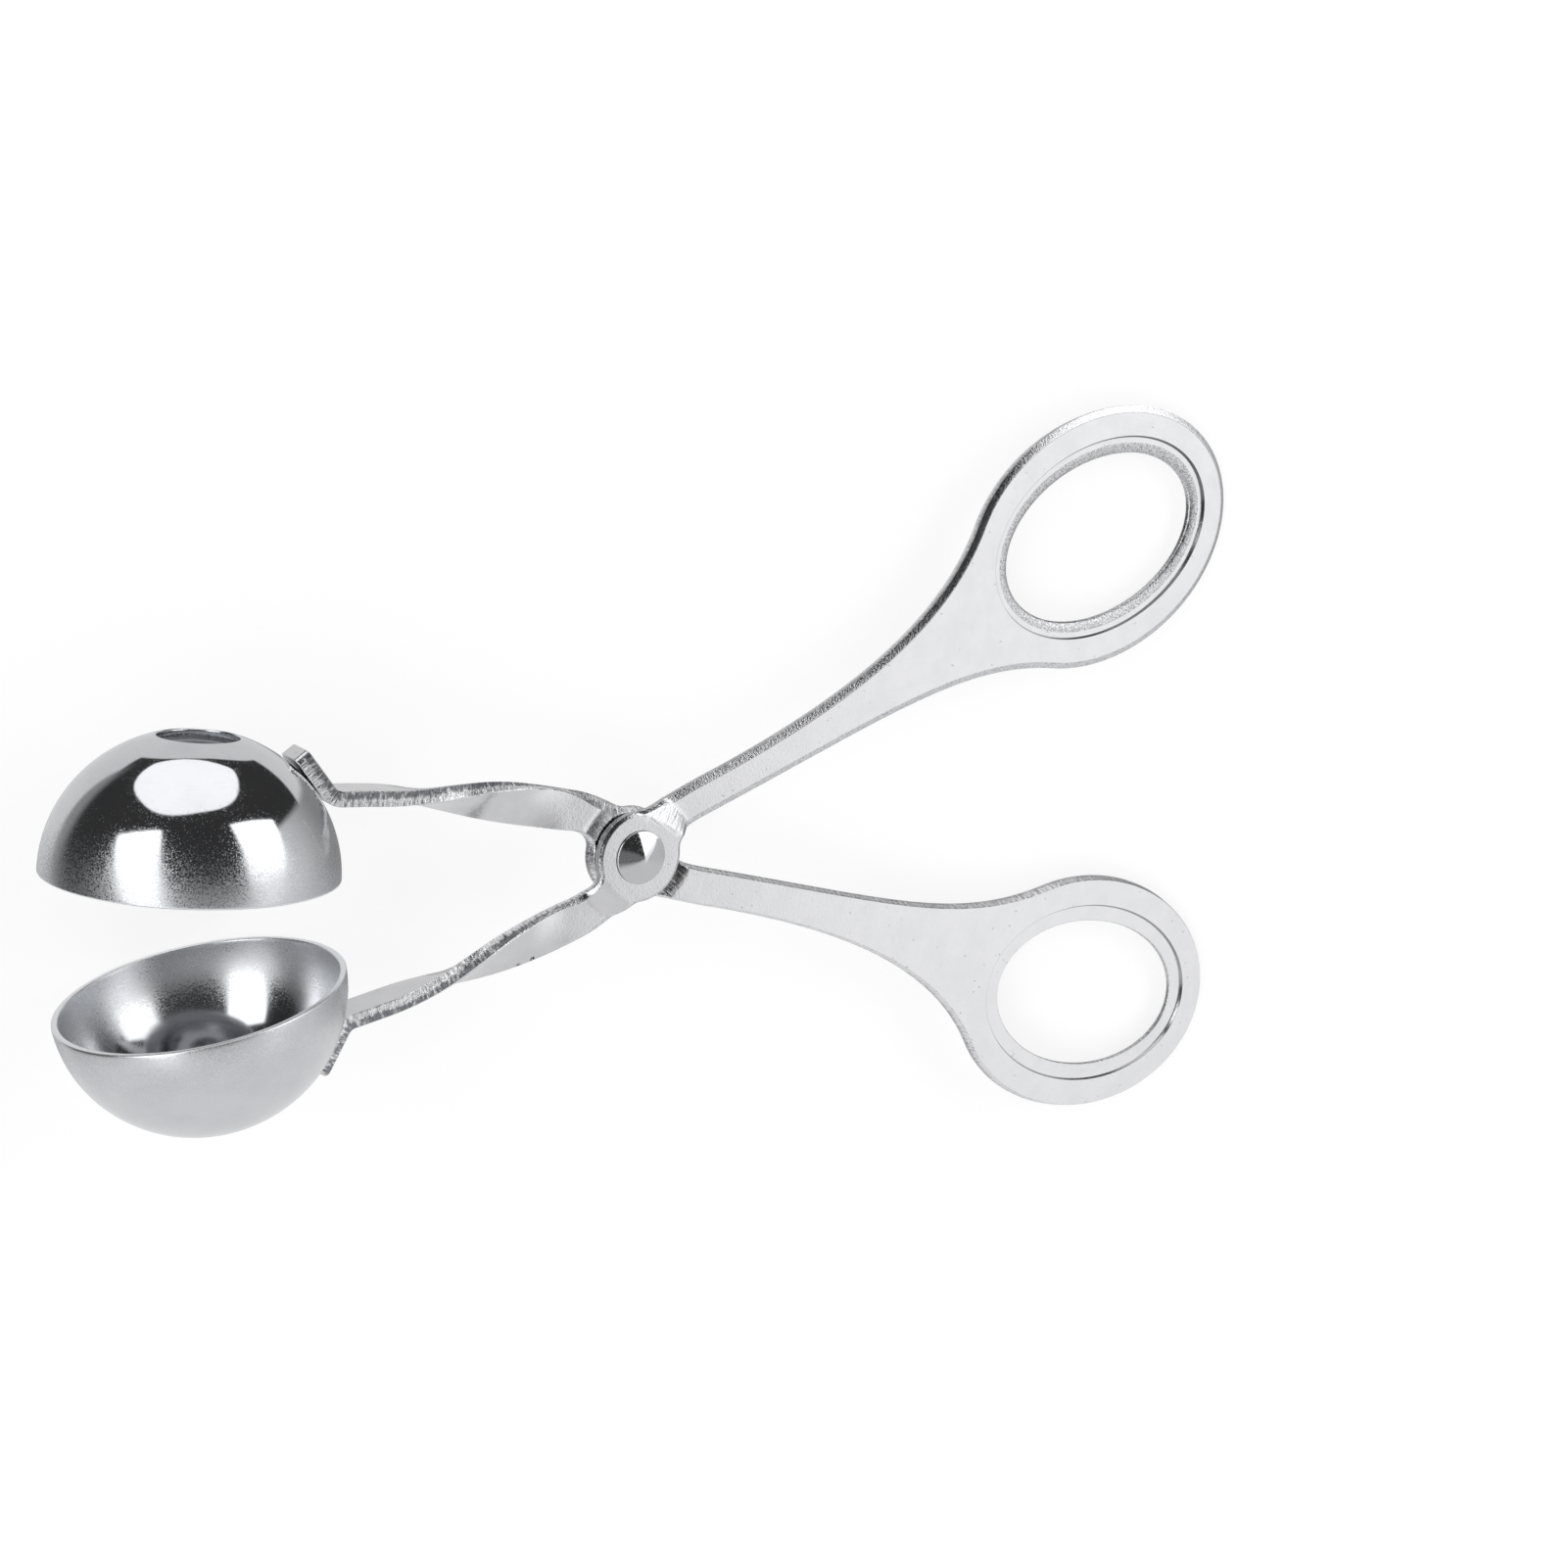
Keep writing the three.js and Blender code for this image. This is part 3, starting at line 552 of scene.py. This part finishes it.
def cutOutline():
    # clockwise from the arm's upper corner over the boss and round the loop
    half = arm["width"] / 2
    upperRoot, lowerRoot = arm["root"] + armUp * half, arm["root"] - armUp * half
    stripHeading = complex(1, strip["slope"]) / abs(complex(1, strip["slope"]))
    outerStart = complex(strip["start"], strip["outer"])
    innerStart = outerStart + stripHeading * -1j * strip["width"]
    loopFrom, loopTo = (math.radians(degrees) for degrees in loop["arc"])
    points = []

    def addBlend(start, end, reaches, step):
        (a, aHeading), (d, dHeading) = start, end
        b, c = a + aHeading * reaches[0], d - dHeading * reaches[1]
        u = np.linspace(0, 1, max(8, round(abs(d - a) / step)) + 1)[1:]
        points.extend((1 - u) ** 3 * a + 3 * u * (1 - u) ** 2 * b + 3 * u ** 2 * (1 - u) * c + u ** 3 * d)

    def bossEnd(degrees):
        return boss["radius"] * unit(degrees), unit(degrees) * -1j

    def addArc(span):
        turns = np.linspace(*span, boss["arcSteps"])[1:]
        points.extend(boss["radius"] * unit(degrees) for degrees in turns)

    addBlend((upperRoot, -armHeading), bossEnd(boss["upperArc"][0]), blends["armUpper"], 0.3)
    addArc(boss["upperArc"])
    addBlend(bossEnd(boss["upperArc"][1]), (outerStart, stripHeading), blends["stripOuter"], 0.4)
    outerEnd = (loopPoint(-loop["band"], loopFrom), loopHeading(loopFrom))
    addBlend((outerStart, stripHeading), outerEnd, blends["loopOuter"], 0.8)
    loopTurns = np.linspace(loopFrom, loopTo, loop["steps"])[1:]
    points.extend(loopPoint(-loop["band"], angle) for angle in loopTurns)
    innerEnd = (loopPoint(-loop["band"], loopTo), loopHeading(loopTo))
    addBlend(innerEnd, (innerStart, -stripHeading), blends["loopInner"], 0.8)
    addBlend((innerStart, -stripHeading), bossEnd(boss["lowerArc"][0]), blends["stripInner"], 0.35)
    addArc(boss["lowerArc"])
    addBlend(bossEnd(boss["lowerArc"][1]), (lowerRoot, armHeading), blends["armLower"], 0.35)
    stations = np.linspace(0, armLength - tab["corner"], round(armLength / arm["step"]))[1:]
    points.extend(lowerRoot + armHeading * stations)
    armEnd = arm["root"] + armHeading * armLength
    for side, turns in ((-1, np.linspace(0, 90, 8)[1:]), (1, np.linspace(90, 0, 8))):
        across = side * (half - tab["corner"] * (1 - np.cos(np.radians(turns))))
        short = tab["corner"] * (1 - np.sin(np.radians(turns)))
        points.extend(armEnd + armUp * across - armHeading * short)
    points.extend(upperRoot + armHeading * stations[::-1][1:])
    points.append(upperRoot)
    return np.array(points)


def insetRing(ring, distance):
    # moved to the right of its direction
    before, after = ring - np.roll(ring, 1), np.roll(ring, -1) - ring
    inward = (before / np.abs(before) + after / np.abs(after)) * -1j
    return ring + inward * distance * 2 / np.maximum(np.abs(inward) ** 2, 1)


def insideRing(ring, spots):
    # even-odd count of crossings
    x, y = spots.real[:, None], spots.imag[:, None]
    a, b = ring[None, :], np.roll(ring, -1)[None, :]
    crosses = (a.imag > y) != (b.imag > y)
    with np.errstate(divide="ignore", invalid="ignore"):
        at = a.real + (y - a.imag) / (b.imag - a.imag) * (b.real - a.real)
    return (crosses & (x < at)).sum(1) % 2 == 1


def fillFace(outer, holes):
    # triangles between the rings, with a fine lattice where the sheet is formed
    fine = sheet["fine"]
    rows = np.arange(armLength / fine) * fine + fine / 2
    lanes = np.linspace(-0.5, 0.5, 9)[1:-1] * (arm["width"] - 2 * sheet["armRoll"])
    armSpots = (arm["root"] + armHeading * rows[:, None] + armUp * lanes[None, :]).ravel()
    gridX, gridY = np.meshgrid(np.arange(-11, 15, fine), np.arange(-11, 12, fine))
    bossSpots = (gridX + 1j * gridY).ravel()
    bossSpots = bossSpots[((bossSpots - arm["root"]) / armHeading).real < -fine / 2]
    spots = np.concatenate([armSpots, bossSpots])
    keep = insideRing(insetRing(outer, sheet["clear"]), spots)
    for hole in holes:
        keep &= np.abs(spots[:, None] - hole[None, :]).min(1) > sheet["clear"]
    spots = spots[keep]
    rings = [outer, *holes]
    corners = np.concatenate([*rings, spots])
    edges, first = [], 0
    for ring in rings:
        edges += [(first + i, first + (i + 1) % len(ring)) for i in range(len(ring))]
        first += len(ring)
    flat = [Vector((p.real, p.imag)) for p in corners]
    made = delaunay_2d_cdt(flat, edges, [], 0, 1e-7)
    placed = np.array([complex(*p) for p in made[0]])
    triangles = np.array([face for face in made[2] if len(face) == 3])
    middles = placed[triangles].mean(1)
    kept = insideRing(outer, middles)
    for hole in holes:
        kept &= ~insideRing(hole, middles)
    return placed, triangles[kept]


def addWalls(parts, rings, finish, closedMap):
    # quads between rings of equal length, each ring (points, height) or (points, height, strength of the
    # painted shade in the groove)
    for (lowRing, low, *lowMark), (highRing, high, *highMark) in zip(rings, rings[1:]):
        count = len(lowRing)
        lengths = np.concatenate([[0], np.cumsum(np.abs(np.diff(np.append(closedMap, closedMap[0]))))])
        ahead = np.roll(np.arange(count), -1)
        corners = np.concatenate([lowRing, highRing, highRing[ahead], lowRing[ahead]])
        low, high = np.broadcast_to(low, count), np.broadcast_to(high, count)
        heights = np.concatenate([low, high, high[ahead], low[ahead]])
        low, high = (np.broadcast_to(mark[0] if mark else 0.0, count) for mark in (lowMark, highMark))
        grooves = np.concatenate([low, high, high[ahead], low[ahead]])
        near, far = lengths[:-1], lengths[1:]
        maps = np.column_stack([np.concatenate([near, near, far, far]), heights])
        faces = np.arange(4 * count).reshape(4, count).T
        parts.append((np.column_stack([corners.real, corners.imag, heights]), faces, finish, maps, grooves))


def addEdge(parts, outline):
    # up the torn wall from the burr and over the die roll; gives the rings where the flat faces start
    top = sheet["thickness"] / 2
    along = ((outline - arm["root"]) / armHeading).real
    tabEnd = along > armLength - tab["corner"] / 2
    sideFinish = np.where(tabEnd & np.roll(tabEnd, -1), faceSlot, edgeSlot)
    onArm, onBoss = smooth(along, -5, 3), 1 - smooth(np.abs(outline), 7, 10)
    azimuth = -np.degrees(np.angle(outline))
    nearArm = smooth(azimuth, *boss["tuckStart"]) * (1 - smooth(azimuth, *boss["tuckEnd"]))
    tuck = nearArm * np.clip(np.abs(outline) - boss["radius"], 0, boss["tuck"])  # clears the other joggle
    lean = sheet["lean"] * (1 - onArm) + tuck  # the torn part draws in towards the burr
    burr = insetRing(outline, lean + sheet["burr"])
    sides = [(burr, -top), (insetRing(outline, lean), sheet["burr"] - top), (outline, sheet["leanFrom"])]
    width = sheet["rollWidth"] * (1 - onArm) + sheet["armRoll"] * onArm
    depth = sheet["rollDepth"] * (1 - onArm) + sheet["armRoll"] * onArm
    width, depth = width * (1 - onBoss * boss["roll"]), depth * (1 - onBoss * boss["rollDepth"])
    rolls = []
    for part in np.linspace(0, 1, sheet["rollSteps"] + 1):
        rolls.append((insetRing(outline, width * part), top - depth * (1 - part) ** sheet["rollBulge"]))
    ahead = np.roll(outline, -1) - np.roll(outline, 1)
    # painted shade: a dark line where the roll meets the flat face, only on edges whose outer side faces +y
    # in the flat sheet, away from arm and boss
    seam = smooth((ahead / np.abs(ahead) * 1j).imag, 0.2, 0.7) * (1 - onArm) * (1 - onBoss)
    rolls[-1] = (*rolls[-1], seam)
    flatEdge = insetRing(outline, width + sheet["seam"])
    addWalls(parts, [*sides, rolls[0]], sideFinish, outline)
    addWalls(parts, rolls, rollSlot, outline)
    addWalls(parts, [rolls[-1], (flatEdge, top)], faceSlot, outline)
    return burr, flatEdge


def addLoop(parts):
    # the coined step round the hole, with a rounded fall on the upper side; gives the ring where it starts
    top = sheet["thickness"] / 2
    level, ease = top - loop["lipDepth"], loop["lipEase"]
    angles = np.linspace(0, math.tau, loop["steps"], endpoint=False)

    def loopRing(inset):
        return np.array([loopPoint(inset, angle) for angle in angles])

    step, foot, hole = loopRing(0), loopRing(loop["lipDraft"]), loopRing(loop["lipWidth"])
    brow, heel = loopRing(-ease), loopRing(loop["lipDraft"] + ease)
    under = loopRing(loop["lipWidth"] - loop["lipCorner"])
    falls = []
    for turn in np.linspace(0, math.pi / 2, loop["fallSteps"]):
        inset = loop["lipWidth"] - loop["fallWidth"] * (1 - math.sin(turn))
        falls.append((loopRing(inset), level - loop["fallDepth"] * (1 - math.cos(turn))))
    soft = ease * 0.4
    # painted shade in the step corners, weaker on the lower side than on the upper
    lowGroove, highGroove = loop["grooves"]
    lowStep = [(brow, -top), (step, soft - top, lowGroove), (foot, -level - soft, lowGroove), (heel, -level)]
    highStep = [(heel, level), (foot, level + soft, highGroove), (step, top - soft, highGroove), (brow, top)]
    addWalls(parts, lowStep, faceSlot, step)
    addWalls(parts, [(heel, -level), (under, -level)], faceSlot, hole)
    addWalls(parts, [(under, -level), (hole, loop["lipCorner"] - level), *falls[::-1]], lipSlot, hole)
    addWalls(parts, [falls[0], (heel, level)], faceSlot, hole)
    addWalls(parts, highStep, faceSlot, step)
    return brow


def joinSheet(name, parts):
    # one mesh of all parts, pressed into shape, with its finishes, marks and map
    corners, faces, finishes, maps, grooves, first = [], [], [], [], [], 0
    for points, partFaces, finish, partMap, partGrooves in parts:
        corners.append(points)
        grooves.append(partGrooves)
        faces += (partFaces + first).tolist()
        finishes += np.broadcast_to(finish, len(partFaces)).tolist()
        maps.append(partMap[partFaces.ravel()])
        first += len(points)
    flat = np.concatenate(corners)
    mesh = bpy.data.meshes.new(name)
    mesh.from_pydata(pressSheet(flat).tolist(), [], faces)
    mesh.attributes.new("crease", "FLOAT", "POINT").data.foreach_set("value", creaseMask(flat))
    mesh.attributes.new("paintedGrooveShade", "FLOAT", "POINT").data.foreach_set("value", np.concatenate(grooves))
    for finish in sheetFinishes:
        mesh.materials.append(finish)
    mesh.polygons.foreach_set("material_index", finishes)
    mesh.uv_layers.new(name="sheetMap").data.foreach_set("uv", np.concatenate(maps).ravel())
    shape = bmesh.new()
    shape.from_mesh(mesh)
    bmesh.ops.remove_doubles(shape, verts=shape.verts, dist=1e-4)
    bmesh.ops.recalc_face_normals(shape, faces=shape.faces)
    shape.to_mesh(mesh)
    shape.free()
    return mesh


def makeLever(name, body, node):
    top = sheet["thickness"] / 2
    bore = boss["bore"] * np.exp(1j * np.linspace(0, math.tau, boss["boreSteps"], endpoint=False))
    parts = []
    burr, flatEdge = addEdge(parts, cutOutline())
    brow = addLoop(parts)
    addWalls(parts, [(bore, -top), (bore, top)], edgeSlot, bore)
    for ring, height, upward in ((burr, -top, False), (flatEdge, top, True)):
        spots, triangles = fillFace(ring, [brow, bore])
        if not upward:
            triangles = triangles[:, ::-1]
        corners = np.column_stack([spots.real, spots.imag, np.full(len(spots), height)])
        parts.append((corners, triangles, faceSlot, corners[:, :2], np.zeros(len(spots))))
    mesh = joinSheet(name, parts)
    mesh.transform(places[body])
    mesh.shade_smooth()
    mesh.set_sharp_from_angle(angle=math.radians(sheet["sharp"]))
    maker = bpy.data.objects.new(name + "Maker", mesh)
    scene.collection.objects.link(maker)
    weighted = maker.modifiers.new("weighted", "WEIGHTED_NORMAL")
    weighted.keep_sharp = True
    whole = bpy.data.meshes.new_from_object(maker.evaluated_get(bpy.context.evaluated_depsgraph_get()))
    bpy.data.objects.remove(maker)
    piece = bpy.data.objects.new(name, whole)
    scene.collection.objects.link(piece)
    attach(piece, body)
    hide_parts(node)
    print(name, len(whole.polygons), "faces")


makeLever("thumbLever", "thumb_side", "thumb_lever")
makeLever("fingerLever", "finger_side", "finger_lever")


# Studio: a pale floor, and a dim room of light panels that the steel mirrors

studio = {"floorLift": -0.0002, "floorSize": 4.0, "glow": 0.78, "catch": 0.3, "room": 0.04}
panels = [  # later ones stand in front; each edge: direction of its inner side, where it stands, how soft
    {"level": 0.216, "rise": (0.4, (1, -1, 0), 0.28, 0.5),  # zenith
     "edges": [((0, 0, 1), 0.9, 0.1), ((0, -1, 0), -0.04, 0.08)]},
    {"level": 0.304, "edges": [((-1, 0, 0), 0.3, 0.15), ((0, 0, -1), 0.62, 0.07)]},
    {"level": 0.64, "edges": [((0, -1, 0), 0.27, 0.06), ((1, 0, 0), 0.2, 0.08)]},
    {"level": 0.744, "edges": [((1, -0.33, -0.93), 0.06, 0.05), ((0, -1, -1.08), 0.03, 0.03)]},  # white paper
    {"level": 0.744, "edges": [],
     "round": {"azimuth": 70, "elevation": -45, "across": 22, "up": 20.5, "corner": 2.2, "soft": 0.04}},
    {"level": 0.288, "rise": (0.432, (0, 0, 1), -0.62, 0.4),  # wall
     "edges": [((0.462, -1, 0.212), 0, 0.04), ((0, 0, -1), -0.72, 0.08)]},
    {"level": 0.8, "edges": [((0, -1, 0), 0.4, 0.12)]},
    {"level": 1.2, "rise": (0.8, (0, 1, 0), -0.06, 0.2),  # soft box on the right
     "edges": [((0.856, -0.025, -0.516), 0, 0.015), ((-0.421, 0.314, 0.851), 0.02, 0.015),
               ((0.249, -0.68, 0.69), 0, 0.015), ((0, 1, 0), -0.5, 0.2)]},
    {"level": 0.8,  # its dimmer foot
     "edges": [((-0.856, 0.025, 0.516), -0.1, 0.04), ((0.856, -0.025, -0.516), 0, 0.015),
               ((0, -1, 0), 0.2, 0.06)]},
    {"level": 2.4,  # soft box on the left
     "edges": [((-0.814, -0.108, -0.571), -0.01, 0.015), ((0.361, 0.353, 0.864), 0.015, 0.015),
               ((-0.394, -0.651, 0.649), 0, 0.015), ((0, 1, 0), -0.5, 0.2)]},
    {"level": 1.344, "edges": [((-0.35, 0.52, 1), 0, 0.008)],  # overhead
     "round": {"azimuth": 88.3, "elevation": -1.6, "across": 30, "up": 28.6, "corner": 2.5, "soft": 0.03}},
]


def makeFloor():
    half, lift = studio["floorSize"] / 2, studio["floorLift"]
    corners = [(x * half, y * half, lift) for x, y in ((-1, -1), (1, -1), (1, 1), (-1, 1))]
    mesh = bpy.data.meshes.new("floor")
    mesh.from_pydata(corners, [], [(0, 1, 2, 3)])
    floor = bpy.data.objects.new("floor", mesh)
    scene.collection.objects.link(floor)
    material, start = startSurface("paleFloor")
    seen = start.node("ShaderNodeLightPath", out="Is Camera Ray")
    seen = seen.greatest(start.node("ShaderNodeLightPath", out="Is Glossy Ray"))
    seen = seen.greatest(start.node("ShaderNodeLightPath", out="Is Transmission Ray"))
    glow = start.node("ShaderNodeEmission", {}, {"Strength": seen * studio["glow"]})
    matt = start.node("ShaderNodeBsdfDiffuse", {}, {"Color": (studio["catch"],) * 3 + (1,)})
    both = start.node("ShaderNodeAddShader", {}, {0: glow, 1: matt})
    start.node("ShaderNodeOutputMaterial", {}, {"Surface": both})
    mesh.materials.append(material)
    floor.visible_glossy = False  # the steel mirrors the room's panels instead
    floor.visible_shadow = False


def makeRoom():
    world = bpy.data.worlds.new("studioRoom")
    world.use_nodes = True
    world.node_tree.nodes.clear()
    scene.world = world
    start = Wire(world.node_tree)
    way = start.node("ShaderNodeTexCoord", out="Generated")
    room = studio["room"]
    for panel in panels:
        level = panel["level"]
        if "rise" in panel:
            gain, axis, low, high = panel["rise"]
            level = towards(start, way, axis).ramp(low, high) * gain + level
        mask = roundMask(start, way, panel["round"]) if "round" in panel else 1.0
        for axis, at, soft in panel["edges"]:
            mask = towards(start, way, axis).ramp(at - soft, at + soft) * mask
        room = mask * level + (1 - mask) * room
    seen = start.node("ShaderNodeLightPath", out="Is Camera Ray")
    strength = room * (1 - seen) + seen
    light = start.node("ShaderNodeBackground", {}, {"Color": (1, 1, 1, 1), "Strength": strength})
    start.node("ShaderNodeOutputWorld", {}, {"Surface": light})


def towards(start, way, axis):
    return start.node("ShaderNodeVectorMath", {"operation": "DOT_PRODUCT"},
                      {0: way, 1: Vector(axis).normalized()}, "Value")


def roundMask(start, way, box):
    # 1 inside a panel with rounded corners, measured on the plane it stands in
    swing = Matrix.Rotation(math.radians(box["azimuth"]), 3, "Z")
    turn = swing @ Matrix.Rotation(math.radians(-box["elevation"]), 3, "Y")
    facing, across, up = (towards(start, way, axis) for axis in turn.transposed())
    ahead = facing.greatest(0.05)
    reach = 0.0
    for side, half in ((across, box["across"]), (up, box["up"])):
        part = side / (ahead * math.tan(math.radians(half)))
        reach = part.maths("ABSOLUTE", part) ** box["corner"] + reach
    inside = (reach ** (1 / box["corner"])).ramp(1 + box["soft"], 1 - box["soft"])
    return inside * facing.ramp(0.1, 0.3)


makeFloor()
makeRoom()
print("studio lit")

view = {"eye": (-0.13177, 0.08094, 0.26879), "right": (0.8780, -0.0022, 0.4787),
        "down": (-0.1192, -0.9695, 0.2141), "lens": 48.95, "sensor": 36.0, "near": 0.01}


def makeCamera():
    lens = bpy.data.cameras.new("camera")
    lens.lens = view["lens"]
    lens.sensor_width = lens.sensor_height = view["sensor"]
    lens.clip_start = view["near"]
    right = Vector(view["right"]).normalized()
    back = right.cross(-Vector(view["down"])).normalized()
    up = back.cross(right)
    holder = bpy.data.objects.new("camera", lens)
    turn = Matrix((right, up, back)).transposed().to_4x4()
    turn.translation = Vector(view["eye"])
    holder.matrix_world = turn
    scene.collection.objects.link(holder)
    scene.camera = holder


makeCamera()
